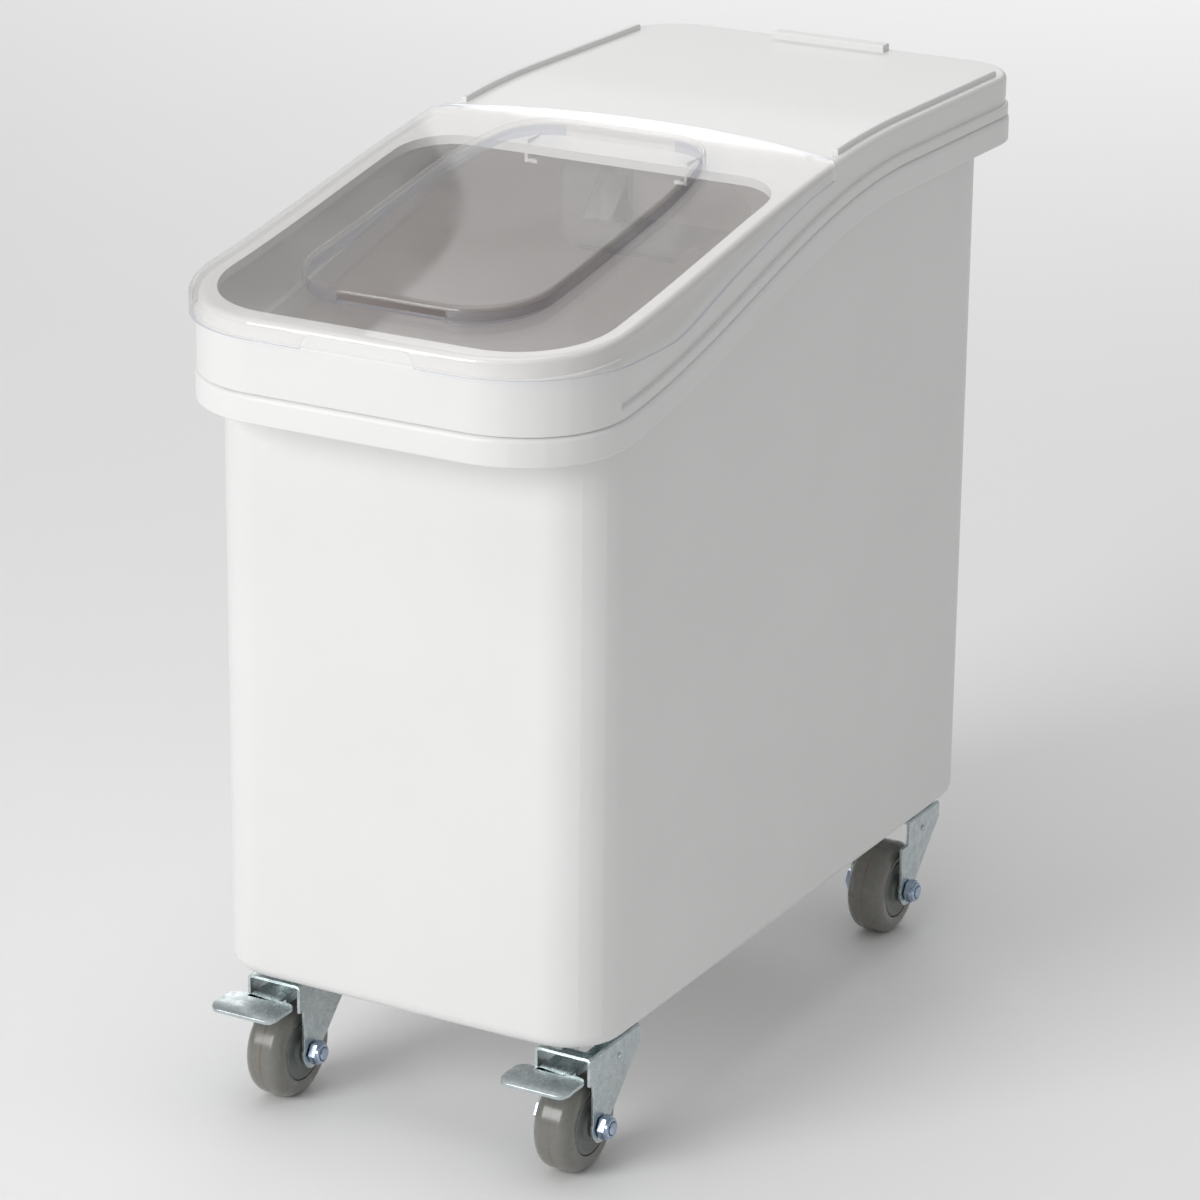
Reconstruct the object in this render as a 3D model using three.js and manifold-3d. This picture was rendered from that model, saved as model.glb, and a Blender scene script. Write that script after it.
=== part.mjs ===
// Wheeled food storage bin: a tub on four swivel casters, a press-fit top frame,
// a clear lifting lid and a clear scoop that hangs from two rails.
// Millimetres, +Z up. The front, where the opening is, faces -Y.

import * as THREE from 'three';
import { mergeVertices } from 'three/addons/utils/BufferGeometryUtils.js';
import Module from 'manifold-3d';

const wasm = await Module();
wasm.setup();

// ---------------------------------------------------------------- dimensions
// FAR, WIDE and SPAN reach past the whole object. ROOT is how deep an added shape is sunk in.
// TOUCH is the least overlap that joins two shapes.
const GAP = 0.3;
const FAR = 900;
const WIDE = 300;
const SPAN = { front: -420, rear: 420 };
const ROOT = 2;
const TOUCH = 0.01;
const CORNER_STEPS = 5;
const PROFILE_STEPS = 10;

// Tub and its rim collar
const TUB = { halfWidth: 166, halfLength: 318, corner: 47, wall: 4, bottom: 111 };
const COLLAR = { halfWidth: 173, halfLength: 370, corner: 52, frontCorner: 85, wall: 4, depth: 22 };
const PAD = { halfX: 30, halfY: 35, height: 6 };

// The seam between tub and top frame, and the upper rim, both rise to the rear
const SEAM = { low: 588, rise: 91, start: -350, length: 500 };
const RIM = { low: 640, rise: 71, start: -440, length: 590 };

// Top frame
const LIP = { inset: 1, height: 8 };
const FRAME = { inset: 3.2, wall: 3.5, roof: 4, shelf: 3.5, spigotDepth: 14, spigotTop: 6, spigotWall: 3 };
// Round the front, the frame's side stands flush with its lip, up to a step below the rim
const FLUSH = { rear: -296, below: 14 };
const OPENING = {
  halfWidth: 158, front: -352, rear: -20, corner: 42, frontCorner: 70, lipDepth: 7, lipWall: 3,
};
const TRACK = { x: 161, halfWidth: 2.5, height: 4.5, front: 44, rear: 322 };
const STOP_TAB = { halfWidth: 50, front: 350, rear: 361, height: 6 };

// Lid
const LID = { halfWidth: 176, front: -377, corner: 92, sheet: 3, clearance: 0.5, skirtWall: 2.5 };
const LID_REAR = { side: 28, middle: 58 };
const PANEL = { halfWidth: 100, rearHalfWidth: 78, front: -322, rear: 8, corner: 58, lift: 11 };
const FINGER_WINDOW = { halfWidth: 45, bottom: 3.7, top: 10.5 };
const NOTCH = { x: 6, halfWidth: 46, height: 9 };
const SKIRT_EDGE = [[-400, 630], [-228, 630], [-205, 635], [-147, 654], [-86, 671], [-24, 687], [80, 703]];

// Scoop and the rails that hold it
const SCOOP = { halfWidth: 55, length: 112, bottom: 612, top: 689, wall: 2, corner: 24, flange: 9 };
const SCOOP_FRONT = 2;
const HANDLE = { halfWidth: 13, length: 127, height: 21, drop: 11, wall: 2.2 };
const CATCH = { halfWidth: 12, length: 8, clearance: 1.5 };
const HOOK = { legX: 67, leg: 3, lip: 8, thickness: 3, front: -18, rear: 92, under: 3 };

// Casters
const WHEEL = { radius: 38.5, halfWidth: 17, hubRadius: 24.5, boreRadius: 7.6, trail: 34 };
const CASTERS = [
  { name: 'front_left', x: -126, y: -240, brake: true },
  { name: 'front_right', x: 126, y: -240, brake: true },
  { name: 'rear_left', x: -126, y: 274, brake: false },
  { name: 'rear_right', x: 126, y: 274, brake: false },
];
const PLATE = { halfX: 29, halfY: 34, thickness: 3, corner: 10, screwX: 21, screwY: 26 };
const SCREW = { shank: 2.6, head: 5.5, headHeight: 3, length: 7 };
const RACE = { radius: 20, height: 8, bore: 8.5 };
const KINGPIN = { radius: 6, headRadius: 11, headHeight: 4 };
const FORK = { halfWidth: 23.5, sheet: 2.5, front: -40, rear: 23, boreRadius: 5.5, footRadius: 13 };
const AXLE = { radius: 5, headRadius: 9.5, headHeight: 6, nutHeight: 9, tail: 1.5 };
const SLEEVE = { outer: 7.2, inner: 5.4 };
const PEDAL = { halfWidth: 29, tipY: -98, backY: -64, sheet: 3, armHalfWidth: 13, z: 87, pivotY: -28 };

// The lid stands prouder in front than the collar behind, so this centres the whole on the origin
const CENTRE_Y = -(LID.front + COLLAR.halfLength) / 2;

// ----------------------------------------------------------------- materials
const finish = (color, roughness, metalness) =>
  new THREE.MeshStandardMaterial({ color, roughness, metalness });
const whitePlastic = () => finish(0xeeedeb, 0.42, 0);
const clearPlastic = () => {
  const material = finish(0xdfe6ee, 0.08, 0);
  material.transparent = true;
  material.opacity = 0.35;
  return material;
};
const zinc = () => finish(0x9fb0b4, 0.35, 1);
const blueZinc = () => finish(0x8fa3bd, 0.3, 1);
const greyTyre = () => finish(0x7d7c76, 0.3, 0);
const greyHub = () => finish(0x6f7470, 0.45, 0);

// ------------------------------------------------------------- solid helpers
function solid(geometry) {
  const bare = geometry.index ? geometry.clone() : geometry;
  bare.deleteAttribute('normal');
  bare.deleteAttribute('uv');
  const merged = mergeVertices(bare, 1e-4);
  const mesh = new wasm.Mesh({
    numProp: 3,
    vertProperties: new Float32Array(merged.attributes.position.array),
    triVerts: new Uint32Array(merged.index.array),
  });
  return new wasm.Manifold(mesh);
}

function part(name, body, material) {
  const raw = body.getMesh();
  const geometry = new THREE.BufferGeometry();
  geometry.setAttribute('position', new THREE.BufferAttribute(raw.vertProperties, 3));
  geometry.setIndex(new THREE.BufferAttribute(raw.triVerts, 1));
  geometry.computeVertexNormals();
  const mesh = new THREE.Mesh(geometry, material);
  mesh.name = name;
  return mesh;
}

const clamp01 = (value) => Math.min(1, Math.max(0, value));
const rise = (y, line) => {
  const t = clamp01((y - line.start) / line.length);
  return line.low + (line.rise * (1 - Math.cos(Math.PI * t))) / 2;
};
const seamLine = (y) => rise(y, SEAM);
const rimLine = (y) => rise(y, RIM);
const above = (line, offset) => (y) => line(y) + offset;

function skirtLine(y) {
  const i = SKIRT_EDGE.findIndex((point) => point[0] >= y);
  if (i <= 0) return SKIRT_EDGE[0][1];
  const [y0, z0] = SKIRT_EDGE[i - 1];
  const [y1, z1] = SKIRT_EDGE[i];
  return z0 + ((z1 - z0) * (y - y0)) / (y1 - y0);
}

// A rectangle with round corners, seen from above
function plan(halfWidth, front, rear, corner, frontCorner = corner) {
  const shape = new THREE.Shape();
  const c = corner;
  const f = frontCorner;
  shape.moveTo(-halfWidth + f, front);
  shape.lineTo(halfWidth - f, front);
  shape.absarc(halfWidth - f, front + f, f, -Math.PI / 2, 0, false);
  shape.absarc(halfWidth - c, rear - c, c, 0, Math.PI / 2, false);
  shape.absarc(-halfWidth + c, rear - c, c, Math.PI / 2, Math.PI, false);
  shape.absarc(-halfWidth + f, front + f, f, Math.PI, 1.5 * Math.PI, false);
  return shape;
}

function upright(shape, low = 0, high = FAR, curveSegments = CORNER_STEPS) {
  const depth = high - low;
  const geometry = new THREE.ExtrudeGeometry(shape, { depth, bevelEnabled: false, curveSegments });
  geometry.translate(0, 0, low);
  return solid(geometry);
}

// A side outline given in (y, z), swept across the width
function across(shape, left, right, curveSegments = CORNER_STEPS) {
  const depth = right - left;
  const geometry = new THREE.ExtrudeGeometry(shape, { depth, bevelEnabled: false, curveSegments });
  const turn = new THREE.Matrix4().makeBasis(
    new THREE.Vector3(0, 1, 0), new THREE.Vector3(0, 0, 1), new THREE.Vector3(1, 0, 0));
  geometry.applyMatrix4(turn);
  geometry.translate(left, 0, 0);
  return solid(geometry);
}

// A front outline given in (x, z), swept along the length
function along(shape, front, rear, curveSegments = CORNER_STEPS) {
  const depth = rear - front;
  const geometry = new THREE.ExtrudeGeometry(shape, { depth, bevelEnabled: false, curveSegments });
  geometry.rotateX(Math.PI / 2);
  geometry.translate(0, rear, 0);
  return solid(geometry);
}

function box(x0, x1, y0, y1, z0, z1) {
  const geometry = new THREE.BoxGeometry(x1 - x0, y1 - y0, z1 - z0);
  geometry.translate((x0 + x1) / 2, (y0 + y1) / 2, (z0 + z1) / 2);
  return solid(geometry);
}

// The slice of space between two lines that rise along the length
function band(lower, upper, front = SPAN.front, rear = SPAN.rear, steps = PROFILE_STEPS) {
  const shape = new THREE.Shape();
  const levels = [];
  const first = Math.max(front, RIM.start);
  const last = Math.min(rear, SEAM.start + SEAM.length + 20);
  levels.push(front);
  for (let i = 0; i <= steps; i += 1) {
    const y = first + ((last - first) * i) / steps;
    if (y > front && y < rear) levels.push(y);
  }
  levels.push(rear);
  shape.moveTo(levels[0], lower(levels[0]));
  levels.slice(1).forEach((y) => shape.lineTo(y, lower(y)));
  levels.reverse().forEach((y) => shape.lineTo(y, upper(y)));
  return across(shape, -WIDE, WIDE);
}

const ring = (outer, inner) => upright(outer).subtract(upright(inner, -1, FAR + 1));

function lathe(points, segments) {
  const profile = points.map(([radius, height]) => new THREE.Vector2(radius, height));
  return new THREE.LatheGeometry([...profile, profile[0]], segments);
}

// A turned ring standing up on Z
const turned = (points, segments = 16) => solid(lathe(points, segments).rotateX(Math.PI / 2));

// A turned ring lying along X, given as (radius, x)
const turnedAcross = (points, segments = 16) => solid(lathe(points, segments).rotateZ(-Math.PI / 2));

const rod = (radius, low, high, segments = 12) => {
  const geometry = new THREE.CylinderGeometry(radius, radius, high - low, segments);
  geometry.rotateX(Math.PI / 2);
  geometry.translate(0, 0, (low + high) / 2);
  return solid(geometry);
};

const rodAcross = (radius, left, right, segments = 12) => {
  const geometry = new THREE.CylinderGeometry(radius, radius, right - left, segments);
  geometry.rotateZ(Math.PI / 2);
  geometry.translate((left + right) / 2, 0, 0);
  return solid(geometry);
};

// The outline that the collar and the top frame share
function rimPlan(inset) {
  const { halfWidth, halfLength, corner, frontCorner } = COLLAR;
  return plan(halfWidth - inset, -halfLength + inset, halfLength - inset, corner - inset,
    frontCorner - inset);
}

// ----------------------------------------------------------------- the tub
function binTub() {
  const { halfWidth, halfLength, corner, wall, bottom } = TUB;
  const outer = plan(halfWidth, -halfLength, halfLength, corner);
  const inner = plan(halfWidth - wall, -halfLength + wall, halfLength - wall, corner - wall);
  const collarTop = above(seamLine, 0);
  const walls = upright(outer, bottom).intersect(band(() => 0, collarTop));
  const rimOuter = rimPlan(0);
  const skirtInner = rimPlan(COLLAR.wall);
  const shelf = upright(rimOuter).intersect(band(above(seamLine, -COLLAR.wall), collarTop));
  const skirt = ring(rimOuter, skirtInner).intersect(band(above(seamLine, -COLLAR.depth), collarTop));
  let body = walls.add(shelf).add(skirt).subtract(upright(inner, bottom + wall));
  for (const caster of CASTERS) {
    body = body.add(screwPad(caster));
  }
  for (const caster of CASTERS) {
    for (const [x, y] of screwPlaces()) {
      const hole = rod(SCREW.shank + GAP, bottom - 1, bottom + SCREW.length + 1, 6);
      body = body.subtract(hole.translate([caster.x + x, caster.y + y, 0]));
    }
  }
  return body;
}

function screwPad(caster) {
  const top = TUB.bottom + TUB.wall + PAD.height;
  const pad = box(caster.x - PAD.halfX, caster.x + PAD.halfX, caster.y - PAD.halfY,
    caster.y + PAD.halfY, TUB.bottom + 1, top);
  return pad.intersect(upright(plan(TUB.halfWidth - 1, -TUB.halfLength + 1, TUB.halfLength - 1,
    TUB.corner - 1)));
}

const screwPlaces = () => [-1, 1].flatMap((sx) =>
  [-1, 1].map((sy) => [sx * PLATE.screwX, sy * PLATE.screwY]));

// --------------------------------------------------------------- top frame
function topFrame() {
  const base = above(seamLine, GAP);
  const lipTop = above(seamLine, LIP.height);
  const lip = ring(rimPlan(LIP.inset), rimPlan(FRAME.inset + FRAME.wall))
    .intersect(band(base, lipTop));
  const frontBand = ring(rimPlan(LIP.inset), rimPlan(FRAME.inset + FRAME.wall))
    .intersect(box(-WIDE, WIDE, SPAN.front, FLUSH.rear, 0, FAR))
    .intersect(band(base, above(rimLine, -FLUSH.below)));
  const wall = ring(rimPlan(FRAME.inset), rimPlan(FRAME.inset + FRAME.wall))
    .intersect(band(base, rimLine));
  const roof = upright(rimPlan(FRAME.inset)).intersect(band(above(rimLine, -FRAME.roof), rimLine));
  const { halfWidth, front, rear, corner, frontCorner, lipDepth, lipWall } = OPENING;
  const mouth = plan(halfWidth, front, rear, corner, frontCorner);
  const mouthOuter = plan(halfWidth + lipWall, front - lipWall, rear + lipWall, corner + lipWall,
    frontCorner + lipWall);
  const mouthLip = upright(mouthOuter).intersect(band(above(rimLine, -lipDepth), rimLine));
  const spigotOuter = plan(TUB.halfWidth - TUB.wall - GAP, -TUB.halfLength + TUB.wall + GAP,
    TUB.halfLength - TUB.wall - GAP, TUB.corner - TUB.wall);
  const inner = FRAME.spigotWall + TUB.wall + GAP;
  const spigotInner = plan(TUB.halfWidth - inner, -TUB.halfLength + inner, TUB.halfLength - inner,
    TUB.corner - inner);
  const spigot = ring(spigotOuter, spigotInner)
    .intersect(band(above(seamLine, -FRAME.spigotDepth), above(seamLine, FRAME.spigotTop)));
  const shelf = upright(rimPlan(LIP.inset)).subtract(upright(spigotInner, -1, FAR + 1))
    .intersect(band(base, above(seamLine, FRAME.shelf)));
  return lip.add(frontBand).add(wall).add(roof).add(mouthLip).add(spigot).add(shelf)
    .subtract(upright(mouth, SEAM.low + 10))
    .add(tracks()).add(stopTab()).add(scoopHooks());
}

function tracks() {
  const { x, halfWidth, height, front, rear } = TRACK;
  const ridge = band(above(rimLine, -ROOT), above(rimLine, height), front, rear);
  const right = ridge.intersect(box(x - halfWidth, x + halfWidth, front, rear, 0, FAR));
  return right.add(right.mirror([1, 0, 0]));
}

function stopTab() {
  const { halfWidth, front, rear, height } = STOP_TAB;
  return box(-halfWidth, halfWidth, front, rear, rimLine(front) - ROOT, rimLine(front) + height);
}

// Two J-shaped rails under the rear bar, which carry the flanges of the scoop
function scoopHooks() {
  const { legX, leg, lip, thickness, front, rear, under } = HOOK;
  const low = SCOOP.top - under - thickness;
  const legs = band(() => low, above(rimLine, -1), front, rear)
    .intersect(box(legX, legX + leg, front, rear, 0, FAR));
  const foot = box(legX - lip, legX + 1, front, rear, low, low + thickness);
  const right = legs.add(foot);
  const catchTab = band(() => SCOOP.top + CATCH.clearance, above(rimLine, -1), front,
    front + CATCH.length)
    .intersect(box(-CATCH.halfWidth, CATCH.halfWidth, front, front + CATCH.length, 0, FAR));
  return right.add(right.mirror([1, 0, 0])).add(catchTab);
}

// --------------------------------------------------------------------- lid
function lidPlan(inset) {
  const { halfWidth, front, corner } = LID;
  const side = halfWidth - inset;
  const start = front + inset;
  const c = corner - inset;
  const shape = new THREE.Shape();
  shape.moveTo(-side + c, start);
  shape.lineTo(side - c, start);
  shape.absarc(side - c, start + c, c, -Math.PI / 2, 0, false);
  shape.lineTo(side, LID_REAR.side - inset);
  shape.quadraticCurveTo(0, 2 * LID_REAR.middle - LID_REAR.side - inset, -side,
    LID_REAR.side - inset);
  shape.absarc(-side + c, start + c, c, Math.PI, 1.5 * Math.PI, false);
  return shape;
}

function panelPlan(inset) {
  const { halfWidth, rearHalfWidth, front, rear, corner } = PANEL;
  const c = corner - inset;
  const side = halfWidth - inset;
  const back = rearHalfWidth - inset;
  const shape = new THREE.Shape();
  shape.moveTo(-side + c, front + inset);
  shape.lineTo(side - c, front + inset);
  shape.absarc(side - c, front + inset + c, c, -Math.PI / 2, 0, false);
  shape.lineTo(back + 6, rear - inset - 44);
  shape.quadraticCurveTo(back, rear - inset - 8, back - 36, rear - inset);
  shape.lineTo(-back + 36, rear - inset);
  shape.quadraticCurveTo(-back, rear - inset - 8, -back - 6, rear - inset - 44);
  shape.absarc(-side + c, front + inset + c, c, Math.PI, 1.5 * Math.PI, false);
  return shape;
}

function slidingLid() {
  const { clearance, sheet, skirtWall } = LID;
  const under = above(rimLine, clearance);
  const top = above(rimLine, clearance + sheet);
  const panelUnder = above(rimLine, PANEL.lift);
  const panelTop = above(rimLine, PANEL.lift + sheet);
  const plate = upright(lidPlan(0)).subtract(upright(panelPlan(0), -1, FAR + 1))
    .intersect(band(under, top));
  const skirt = ring(lidPlan(0), lidPlan(skirtWall))
    .intersect(box(-WIDE, WIDE, SPAN.front, LID_REAR.side - 10, 0, FAR))
    .intersect(band(skirtLine, top, SPAN.front, 100, 24));
  const panelWall = ring(panelPlan(-TOUCH), panelPlan(sheet)).intersect(band(under, panelTop));
  const panel = upright(panelPlan(0.5)).intersect(band(panelUnder, panelTop));
  const base = rimLine(PANEL.front);
  const { halfWidth, bottom, top: windowTop } = FINGER_WINDOW;
  const hole = box(-halfWidth, halfWidth, PANEL.front - 2, PANEL.front + sheet + 2, base + bottom,
    base + windowTop);
  const notch = box(NOTCH.x - NOTCH.halfWidth, NOTCH.x + NOTCH.halfWidth, LID.front - 1,
    LID.front + skirtWall + 1, 600, skirtLine(SPAN.front) + NOTCH.height);
  return plate.add(skirt).add(panelWall).add(panel).subtract(hole).subtract(notch);
}

// ------------------------------------------------------------------- scoop
function bowlSection(inset) {
  const { halfWidth, bottom, top, corner } = SCOOP;
  const shape = new THREE.Shape();
  const side = halfWidth - inset;
  const c = corner - inset;
  shape.moveTo(-side, inset ? top + 5 : top);
  shape.lineTo(-side, bottom + inset + c);
  shape.absarc(-side + c, bottom + inset + c, c, Math.PI, 1.5 * Math.PI, false);
  shape.absarc(side - c, bottom + inset + c, c, -Math.PI / 2, 0, false);
  shape.lineTo(side, inset ? top + 5 : top);
  return shape;
}

// The side view of the bowl: a round heel in front and a mouth that slants up behind
function bowlSide(inset) {
  const { length, bottom, top } = SCOOP;
  const start = SCOOP_FRONT + inset;
  const end = SCOOP_FRONT + length + (inset ? 6 : 0);
  const low = bottom + inset;
  const heel = 16 - inset;
  const shape = new THREE.Shape();
  shape.moveTo(start, top + (inset ? 5 : 0));
  shape.lineTo(start, low + heel);
  shape.absarc(start + heel, low + heel, heel, Math.PI, 1.5 * Math.PI, false);
  shape.lineTo(end - 20, low);
  shape.lineTo(end, low + 14);
  shape.lineTo(end, low + 22 + (inset ? 60 : 0));
  shape.lineTo(end - 34, top + (inset ? 5 : 0));
  return shape;
}

function handleSide(inset) {
  const { length, height, drop } = HANDLE;
  const root = SCOOP_FRONT + (inset ? 0 : 1);
  const tip = SCOOP_FRONT - length + inset;
  const top = SCOOP.top - 3 - inset;
  const shape = new THREE.Shape();
  shape.moveTo(root, top);
  shape.lineTo(tip, top - drop);
  shape.lineTo(tip, top - drop - height + inset);
  if (inset) {
    shape.lineTo(tip, top - 80);
    shape.lineTo(root, top - 80);
    return shape;
  }
  const waves = 3;
  const wave = (length - 30) / waves;
  shape.lineTo(tip + 16, top - drop - height);
  for (let i = 0; i < waves; i += 1) {
    const y = tip + 16 + i * wave;
    const z = top - drop - height - i * 3;
    shape.quadraticCurveTo(y + wave / 2, z + 13, y + wave, z - 3);
  }
  shape.lineTo(root, top - drop - height - 12);
  return shape;
}

function scoop() {
  const { halfWidth, top, flange, length, wall } = SCOOP;
  const outer = along(bowlSection(0), SCOOP_FRONT, SCOOP_FRONT + length)
    .intersect(across(bowlSide(0), -WIDE, WIDE));
  const inner = along(bowlSection(wall), SCOOP_FRONT, SCOOP_FRONT + length + 10)
    .intersect(across(bowlSide(wall), -WIDE, WIDE));
  const rim = box(-halfWidth - flange, halfWidth + flange, SCOOP_FRONT, SCOOP_FRONT + length - 30,
    top - 2, top);
  const grip = across(handleSide(0), -HANDLE.halfWidth, HANDLE.halfWidth, 4)
    .subtract(across(handleSide(HANDLE.wall), -HANDLE.halfWidth + HANDLE.wall,
      HANDLE.halfWidth - HANDLE.wall, 4));
  return outer.add(rim).subtract(inner).add(grip);
}

// ----------------------------------------------------------------- casters
const plateTop = TUB.bottom - GAP;
const plateBottom = plateTop - PLATE.thickness;
const raceTop = plateBottom - GAP;
const crownTop = raceTop - RACE.height - GAP;
const crownBottom = crownTop - FORK.sheet;
const axleZ = WHEEL.radius;

function casterPlate() {
  const { halfX, halfY, corner } = PLATE;
  let plate = upright(plan(halfX, -halfY, halfY, corner), plateBottom, plateTop, 2);
  plate = plate.subtract(rod(KINGPIN.radius + GAP, 0, FAR, 12));
  for (const [x, y] of screwPlaces()) {
    plate = plate.subtract(rod(SCREW.shank + GAP, 0, FAR, 6).translate([x, y, 0]));
  }
  return plate;
}

function mountScrew() {
  const seat = plateBottom - GAP;
  const head = rod(SCREW.head, seat - SCREW.headHeight, seat, 6);
  return head.add(rod(SCREW.shank, seat - 1, TUB.bottom + SCREW.length, 6));
}

function swivelRace() {
  const { radius, height, bore } = RACE;
  const low = raceTop - height;
  return turned([[bore, low], [radius - 3, low], [radius, low + 3], [radius, raceTop],
    [bore, raceTop]], 14);
}

function kingpin() {
  const low = crownBottom - GAP;
  const head = rod(KINGPIN.headRadius, low - KINGPIN.headHeight, low, 12);
  return head.add(rod(KINGPIN.radius, low - 1, plateTop, 12));
}

function forkLeg(braked) {
  const foot = FORK.footRadius;
  const shape = new THREE.Shape();
  const front = braked ? FORK.front - 12 : FORK.front + 6;
  shape.moveTo(FORK.rear, crownTop);
  shape.lineTo(FORK.rear, crownTop - 14);
  shape.lineTo(FORK.rear - 18, axleZ + 26);
  shape.lineTo(-WHEEL.trail + foot + 1, axleZ + 3);
  shape.absarc(-WHEEL.trail, axleZ, foot, 0, -Math.PI, true);
  shape.lineTo(-WHEEL.trail - foot, axleZ + 36);
  shape.lineTo(front, axleZ + 40);
  shape.lineTo(front, crownTop);
  return { shape, front };
}

function casterFork(braked) {
  const { halfWidth, sheet, rear, boreRadius } = FORK;
  const { shape, front } = forkLeg(braked);
  const leg = across(shape, halfWidth - sheet, halfWidth);
  const crown = box(-halfWidth, halfWidth, Math.max(front, FORK.front + 16), rear, crownBottom,
    crownTop);
  const bore = rodAcross(boreRadius, -WIDE, WIDE).translate([0, -WHEEL.trail, axleZ]);
  const pinHole = rod(KINGPIN.radius + GAP, 0, FAR, 12);
  return leg.add(leg.mirror([1, 0, 0])).add(crown).subtract(bore).subtract(pinHole);
}

function axleBolt() {
  const reach = FORK.halfWidth + GAP;
  const head = rodAcross(AXLE.headRadius, -reach - AXLE.headHeight, -reach, 6);
  return head.add(rodAcross(AXLE.radius, -reach - 1, reach + AXLE.nutHeight + AXLE.tail));
}

function axleNut() {
  const start = FORK.halfWidth + GAP;
  const body = rodAcross(AXLE.headRadius, start, start + AXLE.nutHeight, 6);
  return body.subtract(rodAcross(AXLE.radius + GAP, 0, WIDE));
}

function axleSleeve() {
  const half = FORK.halfWidth - FORK.sheet - GAP;
  const { outer, inner } = SLEEVE;
  return turnedAcross([[inner, -half], [outer, -half], [outer, half], [inner, half]], 12);
}

function wheelHub() {
  const { halfWidth, hubRadius, boreRadius } = WHEEL;
  const face = halfWidth + 1;
  return turnedAcross([[boreRadius, -face], [11, -face], [13, -face + 3], [hubRadius, -face + 3],
    [hubRadius, face - 3], [13, face - 3], [11, face], [boreRadius, face]], 16);
}

function wheelTyre() {
  const { radius, halfWidth, hubRadius } = WHEEL;
  const bore = hubRadius + GAP;
  const profile = [[bore, -halfWidth + 1], [radius - 6, -halfWidth + 1], [radius - 2, -halfWidth + 6],
    [radius, -4], [radius, 4], [radius - 2, halfWidth - 6], [radius - 6, halfWidth - 1],
    [bore, halfWidth - 1]];
  return turnedAcross(profile, 24);
}

// The pedal blade, its arm between the fork sides and the pivot pin it turns on
function brakePedal() {
  const { halfWidth, tipY, backY, sheet, armHalfWidth, z, pivotY } = PEDAL;
  const blade = upright(plan(halfWidth, tipY, backY, 7), z, z + sheet, 3);
  const arm = box(-armHalfWidth, armHalfWidth, backY - 2, pivotY, z, z + sheet);
  const pin = rodAcross(3, -armHalfWidth, armHalfWidth, 8).translate([0, pivotY, z + 1]);
  return blade.add(arm).add(pin);
}

function brakeShoe() {
  const { armHalfWidth, z } = PEDAL;
  const low = axleZ + WHEEL.radius + 3.5;
  return box(-armHalfWidth + 2, armHalfWidth - 2, -52, -34, low, z - GAP);
}

function caster({ name, x, y, brake }) {
  const group = new THREE.Group();
  group.position.set(x, y, 0);
  group.add(part(`${name}_plate`, casterPlate(), zinc()));
  group.add(part(`${name}_race`, swivelRace(), zinc()));
  group.add(part(`${name}_kingpin`, kingpin(), zinc()));
  group.add(part(`${name}_fork`, casterFork(brake), zinc()));
  screwPlaces().forEach(([sx, sy], i) => {
    const screw = part(`${name}_screw_${i + 1}`, mountScrew(), zinc());
    screw.position.set(sx, sy, 0);
    group.add(screw);
  });
  const wheel = new THREE.Group();
  wheel.position.set(0, -WHEEL.trail, axleZ);
  wheel.add(part(`${name}_axle_bolt`, axleBolt(), blueZinc()));
  wheel.add(part(`${name}_axle_nut`, axleNut(), blueZinc()));
  wheel.add(part(`${name}_axle_sleeve`, axleSleeve(), zinc()));
  wheel.add(part(`${name}_hub`, wheelHub(), greyHub()));
  wheel.add(part(`${name}_tyre`, wheelTyre(), greyTyre()));
  group.add(wheel);
  if (brake) {
    group.add(part(`${name}_pedal`, brakePedal(), zinc()));
    group.add(part(`${name}_brake_shoe`, brakeShoe(), zinc()));
  }
  return group;
}

// ---------------------------------------------------------------- assembly
const bin = new THREE.Group();
bin.position.set(0, CENTRE_Y, 0);
bin.add(part('bin_tub', binTub(), whitePlastic()));
bin.add(part('top_frame', topFrame(), whitePlastic()));
bin.add(part('sliding_lid', slidingLid(), clearPlastic()));
bin.add(part('scoop', scoop(), clearPlastic()));
CASTERS.forEach((spec) => bin.add(caster(spec)));

export default bin;
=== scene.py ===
"""Wheeled food bin: the finished look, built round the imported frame. Metres, +Z up, front on -Y."""

import math

import bmesh
import bpy
from mathutils import Matrix, Vector


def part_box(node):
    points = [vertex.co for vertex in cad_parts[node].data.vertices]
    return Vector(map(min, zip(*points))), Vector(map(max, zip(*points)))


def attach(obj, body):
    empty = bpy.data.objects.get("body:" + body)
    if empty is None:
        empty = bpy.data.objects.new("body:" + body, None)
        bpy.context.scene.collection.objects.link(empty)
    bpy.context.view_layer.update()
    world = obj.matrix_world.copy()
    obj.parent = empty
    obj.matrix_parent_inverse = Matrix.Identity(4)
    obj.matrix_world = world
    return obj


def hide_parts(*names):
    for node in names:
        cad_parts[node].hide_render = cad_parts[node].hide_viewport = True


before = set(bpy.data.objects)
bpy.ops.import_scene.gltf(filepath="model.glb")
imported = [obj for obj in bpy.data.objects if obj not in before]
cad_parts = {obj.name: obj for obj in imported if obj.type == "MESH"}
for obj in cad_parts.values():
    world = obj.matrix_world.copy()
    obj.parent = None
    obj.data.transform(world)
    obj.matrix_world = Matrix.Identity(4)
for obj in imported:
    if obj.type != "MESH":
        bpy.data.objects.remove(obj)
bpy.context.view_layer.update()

# ------------------------------------------------------------------ places
# Pieces are made in millimetres round the middle of the rim. The tub, frame and lid are made
# straight, as if the bin's top were level, and a lattice then lifts their rear.
MM = 0.001
tub_low, tub_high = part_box("bin_tub")
MIDDLE_Y = (tub_low.y + tub_high.y) / 2
FLOOR_Z = tub_low.z / MM
RIM_HALF = tub_high.x / MM
RIM_LENGTH_HALF = (tub_high.y - MIDDLE_Y) / MM
RIM_CORNER, RIM_FRONT_CORNER = 52, 85
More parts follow.
